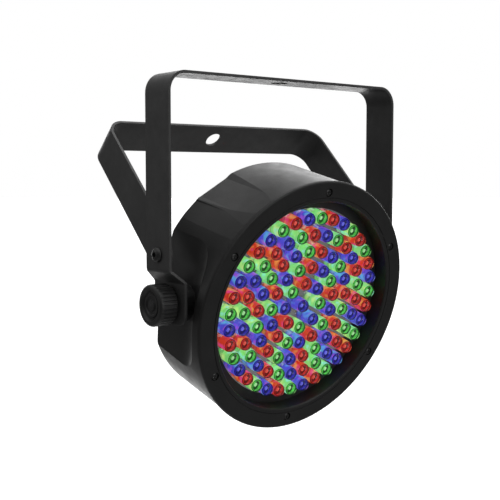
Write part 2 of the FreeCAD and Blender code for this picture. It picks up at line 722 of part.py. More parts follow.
def rear_cover():
    cover = drum(WALL + GAP, COVER_IN, DRUM_REAR)
    through = (COVER_IN - 1, DRUM_REAR + 1)
    cuts = [plate(*DISPLAY_SIZE, *through, DISPLAY_AT, 2.0)]
    for at in button_places():
        cuts.append(plate(BUTTON_SIZE[0] + 2 * GAP, BUTTON_SIZE[1] + 2 * GAP, *through, at, 1.3))
    for at in (DATA_IN_AT, DATA_OUT_AT):
        cuts.append(rod(DATA_BODY_R + 0.2, *through, at))
    for at in (POWER_IN_AT, POWER_OUT_AT):
        cuts.append(plate(POWER_BODY[0] + 0.4, POWER_BODY[1] + 0.4, *through, at, 2.2))
    cuts.append(rod(FUSE_R + 0.2, *through, FUSE_AT))
    cuts.append(rod(1.2, *through, MIC_AT))
    for i in range(VENT_COUNT):
        x = (i - (VENT_COUNT - 1) / 2) * VENT_PITCH
        cuts.append(plate(2.6, 20.0, *through, (x, VENT_AT_Z), 1.25))
    for angle in COVER_SCREW_ANGLES:
        cuts.append(rod(1.7, *through, polar(COVER_SCREW_PCR, angle)))
    for at in socket_screw_places():
        cuts.append(rod(1.2, *through, at))
    for at in cover_post_places():
        cuts.append(rod(1.6, *through, at))
    for side in (-1, 1):
        cuts.append(rod(2.0, *through, (LOOP_AT[0] + side * LOOP_HALF, LOOP_AT[1])))
    return cover.cut(Part.makeCompound(cuts))


def rear_cover_screws():
    made = []
    for angle in COVER_SCREW_ANGLES:
        made.append(screw(PILOT_R, 2.9, 1.8, 10.0, DRUM_REAR, polar(COVER_SCREW_PCR, angle), 1))
    return Part.makeCompound(made)


def socket_screws():
    seat = DRUM_REAR + FLANGE_THICK
    return Part.makeCompound([screw(1.2, 2.2, 1.3, 5.0, seat, at, 1) for at in socket_screw_places()])


def data_socket_body(at):
    flange = plate(*DATA_FLANGE, DRUM_REAR, DRUM_REAR + FLANGE_THICK, at, 3.0)
    body = merge([flange, rod(DATA_BODY_R, 11, DRUM_REAR + FLANGE_THICK, at)])
    for x, z in socket_screw_places():
        body = body.cut(rod(1.2, DRUM_REAR - 1, DRUM_REAR + FLANGE_THICK + 1, (x, z)))
    return body


PIN_FLOOR = 17.0            # y of the floor that the data pins stand on


def data_in_socket():
    """Chassis plug: a round cavity that holds three pins."""
    return data_socket_body(DATA_IN_AT).cut(rod(DATA_CORE_R, PIN_FLOOR, DRUM_REAR + 5, DATA_IN_AT))


def data_in_pins():
    x, z = DATA_IN_AT
    pins = []
    for angle in DATA_PIN_ANGLES:
        dx, dz = polar(DATA_PIN_PCR, angle)
        profile = [(0, PIN_FLOOR), (1.2, PIN_FLOOR), (1.2, DRUM_REAR - 0.6), (0.6, DRUM_REAR), (0, DRUM_REAR)]
        pins.append(lathe(profile, "Y", (x + dx, z + dz)))
    return Part.makeCompound(pins)


SOCKET_FLOOR = 19.0         # y of the floor of the output socket and of the outlet


def data_out_socket():
    """Chassis socket: a round bore, with a notch for the latch at its top."""
    x, z = DATA_OUT_AT
    body = data_socket_body(DATA_OUT_AT).cut(rod(DATA_BORE_R, SOCKET_FLOOR, DRUM_REAR + 5, DATA_OUT_AT))
    notch = block((x - 4.0, x + 4.0), (DRUM_REAR + 0.4, DRUM_REAR + 5), (z + LATCH_NOTCH, z + 20))
    return body.cut(notch)


def data_out_insert():
    """Core of the output socket, with three contact holes."""
    x, z = DATA_OUT_AT
    core = rod(DATA_CORE_R, SOCKET_FLOOR, DRUM_REAR + FLANGE_THICK, DATA_OUT_AT)
    for angle in DATA_PIN_ANGLES:
        dx, dz = polar(DATA_PIN_PCR, angle)
        core = core.cut(rod(1.35, SOCKET_FLOOR + 1, DRUM_REAR + 5, (x + dx, z + dz)))
    return core


def data_out_latch():
    """Release tab in the notch at the top of the output socket; it is pushed down."""
    x, z = DATA_OUT_AT
    low = z + LATCH_NOTCH + LATCH_TRAVEL + 0.2
    front = DRUM_REAR + 0.5
    tab = block((x - 3.6, x + 3.6), (front, front + 2.6), (low, z + 15.3))
    outer = [e for e in tab.Edges if e.CenterOfMass.y > front + 2]
    tab = tab.makeFillet(0.5, [e for e in outer if abs(e.tangentAt(e.FirstParameter).x) > 0.9])
    grips = []
    for i in range(2):
        grips.append(block((x - 4, x + 4), (front + 2.3, front + 3), (low + 0.7 + i, low + 1.0 + i)))
    return tab.cut(Part.makeCompound(grips))


def power_socket_body(at):
    flange = plate(*POWER_FLANGE, DRUM_REAR, DRUM_REAR + FLANGE_THICK, at, 4.0)
    rear = plate(*POWER_BODY, 9, DRUM_REAR + FLANGE_THICK, at, 2.0)
    body = merge([flange, rear])
    for x, z in socket_screw_places():
        body = body.cut(rod(1.2, DRUM_REAR - 1, DRUM_REAR + FLANGE_THICK + 1, (x, z)))
    return body


def power_inlet():
    return power_socket_body(POWER_IN_AT).cut(plate(24.6, 16.6, 16, DRUM_REAR + 5, POWER_IN_AT, 3.0))


def power_inlet_blades():
    x, z = POWER_IN_AT
    blades = [plate(2.0, 4.0, 16, 29.5, (x + dx, z + dz), 0.5) for dx, dz in BLADES]
    return Part.makeCompound(blades)


def power_outlet():
    """Linking outlet: a rounded rectangular bore."""
    bore = plate(*POWER_BORE, SOCKET_FLOOR, DRUM_REAR + 5, POWER_OUT_AT, 3.4)
    return power_socket_body(POWER_OUT_AT).cut(bore)


def power_outlet_insert():
    """Core of the outlet, with three blade holes."""
    x, z = POWER_OUT_AT
    core = plate(*POWER_CORE, SOCKET_FLOOR, DRUM_REAR + FLANGE_THICK, POWER_OUT_AT, 2.0)
    for dx, dz in BLADES:
        core = core.cut(plate(2.6, 4.8, SOCKET_FLOOR + 1, DRUM_REAR + 5, (x + dx, z + dz), 0.6))
    return core


def fuse_holder():
    """Panel fuse holder: a flanged tube, held by a nut behind the cover."""
    tube = rod(FUSE_R, 6, DRUM_REAR + 1.2, FUSE_AT)
    flange = rod(8.0, DRUM_REAR, DRUM_REAR + 1.2, FUSE_AT)
    nut = rod(9.0, COVER_IN - 3, COVER_IN, FUSE_AT)
    body = merge([tube, flange, nut])
    return body.cut(rod(FUSE_BORE_R, 8, DRUM_REAR + 5, FUSE_AT))


def fuse_cap():
    """Bayonet cap with a driver slot; its stem carries the fuse."""
    seat = DRUM_REAR + 1.2 + RUN
    head = lathe([(0, seat), (FUSE_CAP_R, seat), (FUSE_CAP_R, seat + 2.4), (FUSE_CAP_R - 0.8, seat + 3.2),
                  (0, seat + 3.2)], "Y", FUSE_AT)
    x, z = FUSE_AT
    slot = block((x - 4.5, x + 4.5), (seat + 1.9, seat + 4), (z - 0.7, z + 0.7))
    stem = ring(FUSE_BORE_R - RUN, 2.7, seat - 10, seat + 0.5, FUSE_AT)
    return merge([head.cut(slot), stem])


def fuse():
    """Glass cartridge fuse with two metal end caps, as one piece."""
    glass = rod(2.3, 10.5, 27.5, FUSE_AT)
    caps = [rod(2.55, 9.0, 13.5, FUSE_AT), rod(2.55, 24.5, 29.0, FUSE_AT)]
    return merge([glass] + caps)


def safety_loop():
    """Steel loop for a safety cable, riveted through the cover."""
    x, z = LOOP_AT
    inner = COVER_IN - 1.5
    out = DRUM_REAR + 13
    route = rounded_route([(x - LOOP_HALF, inner, z), (x - LOOP_HALF, out, z),
                           (x + LOOP_HALF, out, z), (x + LOOP_HALF, inner, z)], [6.0, 6.0])
    section = Part.Wire([Part.makeCircle(LOOP_R, V(x - LOOP_HALF, inner, z), Y_AXIS)])
    loop = route.makePipeShell([section], True, False)
    collars = [rod(3.4, DRUM_REAR, DRUM_REAR + 1.2, (x + side * LOOP_HALF, z)) for side in (-1, 1)]
    return merge([loop] + collars)


# ---- controls -------------------------------------------------------------------------------

CONTROL_Y = 20.0
BUTTON_TRAVEL = 0.5
SWITCH_TOP = CONTROL_Y + BOARD_THICK + 3.5


def control_board():
    return plate(86.0, 40.0, CONTROL_Y, CONTROL_Y + BOARD_THICK, (0, 43), 2.0)


def display_module():
    """Four-digit segment display."""
    x, z = DISPLAY_AT
    low = CONTROL_Y + BOARD_THICK
    return block((x - 16, x + 16), (low, low + 6.4), (z - 6.5, z + 6.5))


def display_window():
    """Tinted window with a flange behind the cover."""
    width, height = DISPLAY_SIZE
    front = plate(width - 0.2, height - 0.2, COVER_IN - 0.01, DRUM_REAR - 0.3, DISPLAY_AT, 1.9)
    flange = plate(width + 3, height + 3, COVER_IN - 1.0, COVER_IN, DISPLAY_AT, 2.0)
    return merge([front, flange])


def tact_switches():
    low = CONTROL_Y + BOARD_THICK
    made = []
    for at in button_places():
        case = plate(6.0, 6.0, low, SWITCH_TOP - 0.8, at, 0.6)
        made.append(merge([case, rod(1.7, low, SWITCH_TOP, at)]))
    return Part.makeCompound(made)


def button(at):
    """Cap with a domed face and a flange that keeps it behind the cover."""
    tip = DRUM_REAR + 1.3
    low = SWITCH_TOP + BUTTON_TRAVEL + 0.15
    cap = plate(*BUTTON_SIZE, low, tip, at, 1.0)
    rim = [e for e in cap.Edges if e.CenterOfMass.y > tip - 0.01]
    cap = cap.makeFillet(0.5, rim)
    flange = plate(BUTTON_SIZE[0] + 2.4, BUTTON_SIZE[1] + 2.4, COVER_IN - 1.8, COVER_IN - 0.3, at, 1.2)
    return merge([cap, flange])


def microphone():
    return rod(3.0, CONTROL_Y + BOARD_THICK, COVER_IN - 1.2, MIC_AT)


def cover_post_places():
    return [(-38, 26), (38, 26), (-38, 60), (38, 60)]


def cover_posts():
    """Posts between the rear cover and the control board."""
    made = []
    for x, z in cover_post_places():
        post = rod(2.6, CONTROL_Y + BOARD_THICK, COVER_IN, (x, z))
        made.append(merge([post, rod(1.5, CONTROL_Y + BOARD_THICK, DRUM_REAR, (x, z))]))
    return Part.makeCompound(made)


# ---- power supply ---------------------------------------------------------------------------

POWER_BOARD_Y = 3.0
POWER_BOARD_POSTS = [(-66, 18), (66, 18), (-66, -30), (66, -30)]


def power_board():
    board = plate(140.0, 56.0, POWER_BOARD_Y, POWER_BOARD_Y + BOARD_THICK, (0, -6), 3.0)
    for at in POWER_BOARD_POSTS:
        board = board.cut(rod(1.6, POWER_BOARD_Y - 1, POWER_BOARD_Y + 3, at))
    return board


def power_posts():
    """Posts that carry the power board from the rear cover, with studs at both ends."""
    low = POWER_BOARD_Y + BOARD_THICK
    made = []
    for at in POWER_BOARD_POSTS:
        made.append(merge([rod(3.0, low, COVER_IN, at), rod(1.5, POWER_BOARD_Y - 2, low + 1, at)]))
    return Part.makeCompound(made)


def transformer():
    """Ferrite transformer: a core round a wound bobbin."""
    core = block((-14, 14), (POWER_BOARD_Y - 14, POWER_BOARD_Y), (-16, 6))
    window = block((-9, 9), (POWER_BOARD_Y - 15, POWER_BOARD_Y + 1), (-12, 2))
    coil = rod(8.0, POWER_BOARD_Y - 12.5, POWER_BOARD_Y - 1.0, (0, -5))
    limb = block((-15, 15), (POWER_BOARD_Y - 9, POWER_BOARD_Y - 4), (-10, 0))
    return merge([core.cut(window), coil, limb])


def capacitors():
    made = []
    for x, z, radius, tall in ((-34, -6, 8.0, 15.0), (-52, -10, 6.0, 13.0), (34, 6, 5.0, 13.0),
                               (34, -8, 5.0, 13.0)):
        low = POWER_BOARD_Y
        made.append(lathe([(0, low - tall), (radius - 0.6, low - tall), (radius, low - tall + 0.6),
                           (radius, low - 2.6), (radius - 0.5, low - 2.2), (radius, low - 1.8),
                           (radius, low), (0, low)], "Y", (x, z)))
    return Part.makeCompound(made)


def heat_sink():
    """Finned aluminium block for the LED drivers."""
    x0 = 46.0
    base = block((x0, x0 + 18), (POWER_BOARD_Y - 14, POWER_BOARD_Y), (-6, -3))
    fins = [block((x0, x0 + 18), (POWER_BOARD_Y - 14, POWER_BOARD_Y), (z, z + 1.2))
            for z in (-0.2, 3.8, 7.8)]
    spine = block((x0 + 7.5, x0 + 10.5), (POWER_BOARD_Y - 14, POWER_BOARD_Y), (-6, 9.0))
    return merge([base, spine] + fins)


TERMINAL_IN = (-28, -27)
TERMINAL_OUT = (24, 16)


def terminal_blocks():
    """Mains terminals and the LED output header of the power board, and the LED board's header."""
    made = []
    for x, z in (TERMINAL_IN, TERMINAL_OUT):
        made.append(block((x - 8, x + 8), (POWER_BOARD_Y - 9, POWER_BOARD_Y), (z - 4, z + 4)))
    x, z = TERMINAL_OUT
    made.append(block((x - 8, x + 8), (BOARD_BACK, BOARD_BACK + 5), (z + 24, z + 32)))
    return Part.makeCompound(made)


LEAD_R = 1.3


def mains_leads():
    """Two leads from the inlet's tabs round the lower edge of the power board to its terminals."""
    made = []
    for side in (-1, 1):
        x = TERMINAL_IN[0] + 4 * side
        z = POWER_IN_AT[1]
        y = POWER_BOARD_Y - 4.5
        made.append(wire_tube([(x, 9, z), (x, y, z), (x, y, TERMINAL_IN[1] - 4)], LEAD_R))
    return Part.makeCompound(made)


def led_leads():
    """Four leads from the power board to the LED board's header."""
    made = []
    x0, z0 = TERMINAL_OUT
    for i in range(4):
        x = x0 + (i - 1.5) * 3.4
        y_out = POWER_BOARD_Y - 5
        y_in = BOARD_BACK + 2.5
        made.append(wire_tube([(x, y_out, z0 + 4), (x, y_out, z0 + 13), (x, y_in, z0 + 15),
                               (x, y_in, z0 + 24)], LEAD_R))
    return Part.makeCompound(made)


# ---- write the nodes ------------------------------------------------------------------------

save("hanging_yoke", hanging_yoke())
save("rear_bracket", rear_bracket())
save("hinge_bolts", both_sides(hinge_bolt()))
save("hinge_washers", both_sides(hinge_washer()))
save("knob_washers", both_sides(knob_washer()))
save("right_knob", knob())
save("right_knob_stud", knob_stud())
save("left_knob", mirrored(knob()))
save("left_knob_stud", mirrored(knob_stud()))

HEAD_NODES = {
    "housing_shell": housing_shell,
    "pivot_inserts": lambda: both_sides(pivot_insert()),
    "friction_discs": lambda: both_sides(friction_disc()),
    "bezel_ring": bezel_ring,
    "bezel_screws": bezel_screws,
    "bezel_gasket": bezel_gasket,
    "led_plate": led_plate,
    "led_reflector": led_reflector,
    "led_board": led_board,
    "red_leds": lambda: led_group("R"),
    "green_leds": lambda: led_group("G"),
    "blue_leds": lambda: led_group("B"),
    "plate_spacers": plate_spacers,
    "board_posts": board_posts,
    "rear_cover": rear_cover,
    "rear_cover_screws": rear_cover_screws,
    "socket_screws": socket_screws,
    "data_in_socket": data_in_socket,
    "data_in_pins": data_in_pins,
    "data_out_socket": data_out_socket,
    "data_out_insert": data_out_insert,
    "data_out_latch": data_out_latch,
    "power_inlet": power_inlet,
    "power_inlet_blades": power_inlet_blades,
    "power_outlet": power_outlet,
    "power_outlet_insert": power_outlet_insert,
    "fuse_holder": fuse_holder,
    "fuse_cap": fuse_cap,
    "fuse": fuse,
    "safety_loop": safety_loop,
    "control_board": control_board,
    "display_module": display_module,
    "display_window": display_window,
    "tact_switches": tact_switches,
    "microphone": microphone,
    "cover_posts": cover_posts,
    "power_board": power_board,
    "power_posts": power_posts,
    "transformer": transformer,
    "capacitors": capacitors,
    "heat_sink": heat_sink,
    "terminal_blocks": terminal_blocks,
    "mains_leads": mains_leads,
    "led_leads": led_leads,
}
for node, make in HEAD_NODES.items():
    save_head(node, make())
for node, place in zip(BUTTON_NAMES, button_places()):
    save_head(node, button(place))
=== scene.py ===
import json
import math

import bmesh
import bpy
from mathutils import Matrix, Vector


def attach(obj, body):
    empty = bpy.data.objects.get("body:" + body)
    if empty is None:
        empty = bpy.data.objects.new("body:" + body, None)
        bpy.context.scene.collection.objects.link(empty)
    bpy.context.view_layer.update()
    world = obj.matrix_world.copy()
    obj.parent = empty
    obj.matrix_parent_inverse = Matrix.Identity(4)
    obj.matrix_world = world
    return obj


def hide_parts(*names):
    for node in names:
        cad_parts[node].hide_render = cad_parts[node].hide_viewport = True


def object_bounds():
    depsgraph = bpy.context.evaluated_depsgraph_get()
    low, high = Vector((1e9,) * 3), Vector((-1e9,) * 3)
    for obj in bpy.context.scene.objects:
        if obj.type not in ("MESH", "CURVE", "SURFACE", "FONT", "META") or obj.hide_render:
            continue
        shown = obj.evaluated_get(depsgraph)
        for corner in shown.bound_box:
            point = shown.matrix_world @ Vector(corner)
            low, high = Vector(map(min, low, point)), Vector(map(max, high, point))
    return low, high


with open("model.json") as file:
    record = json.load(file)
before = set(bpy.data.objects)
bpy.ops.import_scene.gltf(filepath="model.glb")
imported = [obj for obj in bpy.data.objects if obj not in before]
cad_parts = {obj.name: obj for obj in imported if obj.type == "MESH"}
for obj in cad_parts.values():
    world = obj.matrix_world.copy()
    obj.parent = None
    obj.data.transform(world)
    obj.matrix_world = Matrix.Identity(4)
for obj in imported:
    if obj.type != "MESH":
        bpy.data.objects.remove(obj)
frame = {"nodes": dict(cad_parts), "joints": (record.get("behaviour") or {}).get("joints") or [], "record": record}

# A slim LED par light in its hanging yoke. The CAD nodes are the frame and keep their shapes; this
# script gives every node its material, builds the lit LEDs and the small print and key marks of the
# rear panel, and sets up a pale studio. Metres throughout; sizes below are given in millimetres.

CAD_LOW, CAD_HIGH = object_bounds()
MM = 0.001
NODES = frame["nodes"]
JOINTS = {joint["name"]: joint for joint in frame["joints"]}

# The lamp head's own frame: origin on the tilt axis, Y along the optical axis, front towards -Y.
TILT_POINT = Vector(JOINTS["head_tilt"]["pos_m"])
HEAD_X = Vector(JOINTS["head_tilt"]["axis"])
HEAD_Y = -Vector(JOINTS["menu_press"]["axis"]).normalized()
HEAD_Z = HEAD_X.cross(HEAD_Y)
HEAD = Matrix.Translation(TILT_POINT) @ Matrix((HEAD_X, HEAD_Y, HEAD_Z)).transposed().to_4x4()
TO_HEAD = HEAD.inverted()


def head_box(node):
    """(lowest, highest) corner of a CAD node in the lamp head's frame."""
    points = [TO_HEAD @ v.co for v in NODES[node].data.vertices]
    low = Vector([min(p[i] for p in points) for i in range(3)])
    high = Vector([max(p[i] for p in points) for i in range(3)])
    return low, high


# ---- materials ------------------------------------------------------------------------------

class Surface:
    """A Principled material whose detail comes from nodes in the object's own coordinates."""

    def __init__(self, name, metallic=0.0, specular=0.5, coat=0.0, coat_roughness=0.1, **more):
        self.material = bpy.data.materials.new(name)
        self.material.use_nodes = True
        self.tree = self.material.node_tree
        self.shader = self.tree.nodes["Principled BSDF"]
        self.set(self.shader, Metallic=metallic)
        self.shader.inputs["Specular IOR Level"].default_value = specular
        self.shader.inputs["Coat Weight"].default_value = coat
        self.shader.inputs["Coat Roughness"].default_value = coat_roughness
        for socket, value in more.items():
            self.shader.inputs[socket.replace("_", " ")].default_value = value
        self.place = self.tree.nodes.new("ShaderNodeTexCoord").outputs["Object"]

    def set(self, node, **values):
        for socket, value in values.items():
            node.inputs[socket].default_value = value

    def link(self, source, target):
        self.tree.links.new(source, target)

    def noise(self, size, detail=2.0, roughness=0.5, stretch=None):
        """Noise whose features are about size millimetres across."""
        node = self.tree.nodes.new("ShaderNodeTexNoise")
        self.set(node, Scale=1.0 / (size * MM), Detail=detail, Roughness=roughness)
        self.link(self.stretched(stretch), node.inputs["Vector"])
        return node.outputs["Fac"]

    def cells(self, size, feature="F1"):
        """Distances within cells about size millimetres across."""
        node = self.tree.nodes.new("ShaderNodeTexVoronoi")
        node.feature = feature
        self.set(node, Scale=1.0 / (size * MM))
        self.link(self.place, node.inputs["Vector"])
        return node.outputs["Distance"]

    def stretched(self, stretch):
        """The object's own coordinates, scaled by stretch if it is given."""
        if stretch is None:
            return self.place
        node = self.tree.nodes.new("ShaderNodeMapping")
        node.inputs["Scale"].default_value = stretch
        self.link(self.place, node.inputs["Vector"])
        return node.outputs["Vector"]

    def scale(self, value, low, high, start=0.3, stop=0.7):
        """Maps value from start..stop to low..high, clamped."""
        node = self.tree.nodes.new("ShaderNodeMapRange")
        self.link(value, node.inputs["Value"])
        for socket, number in (("From Min", start), ("From Max", stop), ("To Min", low), ("To Max", high)):
            node.inputs[socket].default_value = number
        return node.outputs["Result"]

    def mix(self, share, first, second):
        """Colour between first and second, each a colour or a socket."""
        node = self.tree.nodes.new("ShaderNodeMix")
        node.data_type = "RGBA"
        self.link(share, node.inputs["Factor"])
        for socket, colour in ((node.inputs[6], first), (node.inputs[7], second)):
            if isinstance(colour, tuple):
                socket.default_value = (*colour, 1.0)
            else:
                self.link(colour, socket)
        return node.outputs[2]

    def math(self, operation, first, second):
        node = self.tree.nodes.new("ShaderNodeMath")
        node.operation = operation
        for socket, value in zip(node.inputs, (first, second)):
            if isinstance(value, float):
                socket.default_value = value
            else:
                self.link(value, socket)
        return node.outputs[0]

    def rounded(self, radius):
        """Normal of the surface with its edges rounded by radius millimetres."""
        node = self.tree.nodes.new("ShaderNodeBevel")
        node.samples = 4
        node.inputs["Radius"].default_value = radius * MM
        return node.outputs["Normal"]

    def edges(self, radius):
        """0 on flat faces, 1 on edges sharper than radius millimetres."""
        flat = self.tree.nodes.new("ShaderNodeNewGeometry").outputs["Normal"]
        dot = self.tree.nodes.new("ShaderNodeVectorMath")
        dot.operation = "DOT_PRODUCT"
        self.link(self.rounded(radius), dot.inputs[0])
        self.link(flat, dot.inputs[1])
        return self.scale(dot.outputs["Value"], 1.0, 0.0, 0.80, 0.97)

    def colour(self, value):
        self.link(value, self.shader.inputs["Base Color"])

    def roughness(self, value):
        self.link(value, self.shader.inputs["Roughness"])

    def bump(self, height, depth, strength=1.0, edge=None):
        """Bump of depth millimetres; edge rounds the edges under it by that many millimetres."""
        node = self.tree.nodes.new("ShaderNodeBump")
        self.set(node, Strength=strength, Distance=depth * MM)
        self.link(height, node.inputs["Height"])
        if edge:
            self.link(self.rounded(edge), node.inputs["Normal"])
        self.link(node.outputs["Normal"], self.shader.inputs["Normal"])


def grey(level, warmth=0.0):
    """Neutral colour, with red raised and blue lowered by the share warmth."""
    return (level * (1 + warmth), level, level * (1 - warmth))


def powder_coat(name, level, wear=0.5):
    """Fine-textured black powder coat on bent steel, rubbed a little lighter along its edges."""
    made = Surface(name, specular=0.36)
    fine = made.noise(0.45, 3.0, 0.6)
    drift = made.noise(26.0, 3.0)
    base = made.mix(made.scale(drift, 0.0, 1.0), grey(level * 0.86), grey(level * 1.14))
    base = made.mix(made.scale(fine, 0.0, 0.55, 0.5, 0.75), base, grey(level * 1.7))
    rubbed = made.math("MULTIPLY", made.edges(0.5), made.scale(made.noise(5.0, 4.0), 0.0, wear, 0.45, 0.7))
    base = made.mix(rubbed, base, grey(level * 4.5))
    made.colour(base)
    made.roughness(made.scale(made.noise(7.0, 4.0), 0.44, 0.58))
    made.bump(fine, 0.035, 0.8, 0.55)
    return made.material


def moulded(name, level, grain=0.35, rough=(0.38, 0.5), specular=0.45, depth=0.02, edge=0.4):
    """Black injection-moulded plastic with a spark-eroded grain."""
    made = Surface(name, specular=specular)
    pits = made.cells(grain)
    flow = made.noise(18.0, 3.0, 0.55)
    base = made.mix(made.scale(flow, 0.0, 1.0), grey(level * 0.88), grey(level * 1.12))
    rub = made.math("MULTIPLY", made.edges(edge), made.scale(made.noise(4.0, 4.0), 0.1, 0.5, 0.4, 0.7))
    made.colour(made.mix(rub, base, grey(level * 3.0)))
    made.roughness(made.scale(made.noise(9.0, 4.0, 0.6), *rough))
    made.bump(pits, depth, 0.7, edge)
    return made.material


def blackened_steel(name, level=0.05):
    """Black oxide fastener: metallic, with turning marks and bright edges."""
    made = Surface(name, metallic=0.9)
    marks = made.noise(0.25, 3.0, 0.6)
    base = made.mix(made.scale(marks, 0.0, 1.0), grey(level * 0.7), grey(level * 1.5))
    made.colour(made.mix(made.edges(0.2), base, grey(level * 5)))
    made.roughness(made.scale(made.noise(1.2, 4.0), 0.28, 0.45))
    made.bump(marks, 0.008, 0.6, 0.2)
    return made.material


def bare_metal(name, colour, rough=(0.22, 0.38)):
    """Plain metal with drawn or turned marks and faint staining."""
    made = Surface(name, metallic=1.0)
    lines = made.noise(0.3, 4.0, 0.6)
    dull = tuple(c * 0.72 for c in colour)
    made.colour(made.mix(made.scale(made.noise(3.5, 4.0), 0.0, 1.0), dull, colour))
    made.roughness(made.scale(lines, *rough))
    made.bump(lines, 0.01, 0.5, 0.15)
    return made.material


def soft_black(name, level=0.02, grain=0.6):
    """Rubber, fibre or nylon: matt, with a fine irregular surface."""
    made = Surface(name, specular=0.3)
    grains = made.noise(grain, 4.0, 0.65)
    made.colour(made.mix(made.scale(grains, 0.0, 1.0), grey(level * 0.7, 0.03), grey(level * 1.5, 0.03)))
    made.roughness(made.scale(made.noise(3.0, 3.0), 0.62, 0.8))
    made.bump(grains, 0.05, 0.6, 0.2)
    return made.material


def circuit_board(name):
    """Green solder mask over copper tracks, with tinned pads."""
    made = Surface(name, specular=0.5, coat=0.4, coat_roughness=0.15)
    tracks = made.cells(3.2, "DISTANCE_TO_EDGE")
    on_track = made.scale(tracks, 1.0, 0.0, 0.06, 0.10)
    weave = made.noise(0.6, 2.0)
    mask = made.mix(on_track, (0.008, 0.075, 0.028), (0.02, 0.15, 0.05))
    pads = made.scale(made.cells(2.6), 1.0, 0.0, 0.10, 0.13)
    made.colour(made.mix(pads, mask, (0.55, 0.53, 0.48)))
    made.roughness(made.scale(weave, 0.25, 0.4))
    made.bump(on_track, 0.03, 0.7, 0.15)
    return made.material


def tinted_window(name):
    """Dark red acrylic with the faint marks of wiping."""
    made = Surface(name, specular=0.55, Transmission_Weight=0.85, IOR=1.49)
    wipe = made.noise(2.2, 4.0, 0.6, (1.0, 1.0, 0.2))
    made.colour(made.mix(made.scale(wipe, 0.0, 1.0), (0.30, 0.015, 0.012), (0.42, 0.03, 0.02)))
    made.roughness(made.scale(wipe, 0.03, 0.12))
    return made.material


def clear_glass(name):
    """Clear glass under a thin uneven film."""
    made = Surface(name, specular=0.5, Transmission_Weight=0.9, IOR=1.5)
    film = made.noise(1.5, 3.0)
    made.colour(made.mix(made.scale(film, 0.0, 1.0), (0.82, 0.86, 0.86), (0.95, 0.97, 0.96)))
    made.roughness(made.scale(film, 0.02, 0.1))
    return made.material


def plain_plastic(name, colour, rough=(0.35, 0.5)):
    """Coloured moulded plastic."""
    made = Surface(name, specular=0.45)
    dark = tuple(c * 0.75 for c in colour)
    made.colour(made.mix(made.scale(made.noise(6.0, 3.0), 0.0, 1.0), dark, colour))
    made.roughness(made.scale(made.noise(2.5, 3.0), *rough))
    made.bump(made.cells(0.4), 0.015, 0.5, 0.2)
    return made.material


def wound_ferrite(name):
    """Sintered ferrite with a fine black grain."""
    made = Surface(name, specular=0.4)
    grains = made.cells(0.5)
    made.colour(made.mix(made.scale(grains, 0.0, 1.0, 0.1, 0.8), grey(0.03), grey(0.075)))
    made.roughness(made.scale(made.noise(2.0, 3.0), 0.5, 0.7))
    made.bump(grains, 0.03, 0.6, 0.3)
    return made.material


def polished_foil(name):
    """Mirror-like foil, a little wavy and dusty."""
    made = Surface(name, metallic=1.0)
    haze = made.noise(5.0, 4.0, 0.6)
    made.colour(made.mix(made.scale(haze, 0.0, 1.0), grey(0.62), grey(0.78)))
    made.roughness(made.scale(haze, 0.08, 0.16))
    made.bump(made.noise(3.0, 2.0), 0.03, 0.5)
    return made.material


# the material of each slot of the record
SLOT_MATERIALS = {
    "bracket_steel": powder_coat("bracket_powder_coat", 0.042),
    "fastener_steel": blackened_steel("black_oxide"),
    "washer_nylon": soft_black("nylon", 0.02, 0.5),
    "knob_plastic": moulded("knob_moulding", 0.015, 0.3, (0.36, 0.5), 0.4),
    "stud_steel": bare_metal("zinc_plate", (0.55, 0.55, 0.56), (0.2, 0.35)),
    "housing_plastic": moulded("housing_moulding", 0.013, 0.4, (0.36, 0.46), 0.45, 0.018, 0.5),
    "bezel_plastic": moulded("bezel_moulding", 0.014, 0.4, (0.40, 0.52), 0.32, 0.015, 0.3),
    "gasket_rubber": soft_black("gasket_rubber", 0.015),
    "friction_fibre": soft_black("friction_fibre", 0.02, 0.9),
    "insert_brass": bare_metal("brass", (0.72, 0.52, 0.24)),
    "led_plate_black": moulded("led_plate_black", 0.028, 0.5, (0.34, 0.46), 0.4, 0.02, 0.2),
    "polished_foil": polished_foil("polished_foil"),
    "circuit_board": circuit_board("circuit_board"),
    "cover_steel": powder_coat("cover_powder_coat", 0.018, 0.35),
    "socket_plastic": moulded("socket_moulding", 0.012, 0.3, (0.3, 0.42), 0.5, 0.012, 0.25),
    "contact_metal": bare_metal("tinned_contacts", (0.72, 0.68, 0.58)),
    "window_tint": tinted_window("window_tint"),
    "button_plastic": moulded("key_moulding", 0.06, 0.25, (0.4, 0.55), 0.45, 0.01, 0.2),
    "latch_plastic": moulded("latch_moulding", 0.03, 0.25, (0.35, 0.5), 0.45, 0.01, 0.2),
    "display_grey": moulded("display_body", 0.03, 0.3, (0.2, 0.3), 0.5, 0.008, 0.2),
    "switch_plastic": moulded("switch_body", 0.03, 0.25, (0.35, 0.5), 0.45, 0.01, 0.1),
    "bare_aluminium": bare_metal("aluminium", (0.72, 0.72, 0.74), (0.28, 0.45)),
    "ferrite": wound_ferrite("ferrite"),
    "capacitor_sleeve": plain_plastic("capacitor_sleeve", (0.03, 0.03, 0.09), (0.2, 0.35)),
    "terminal_plastic": plain_plastic("terminal_green", (0.04, 0.26, 0.10)),
    "lead_insulation": soft_black("lead_insulation", 0.04, 0.5),
    "fuse_glass": clear_glass("fuse_glass"),
}

for part in frame["record"]["subparts"]:
    node = NODES[part["node"]]
    material = SLOT_MATERIALS.get(part["material_slot"])
    if material:
        node.data.materials.clear()
        node.data.materials.append(material)


# ---- mesh helpers ---------------------------------------------------------------------------

def add_piece(name, mesh, body, material):
    """A new piece from a mesh given in the lamp head's frame."""
    mesh.transform(HEAD)
    piece = bpy.data.objects.new(name, mesh)
    bpy.context.scene.collection.objects.link(piece)
    mesh.materials.append(material)
    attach(piece, body)
    return piece


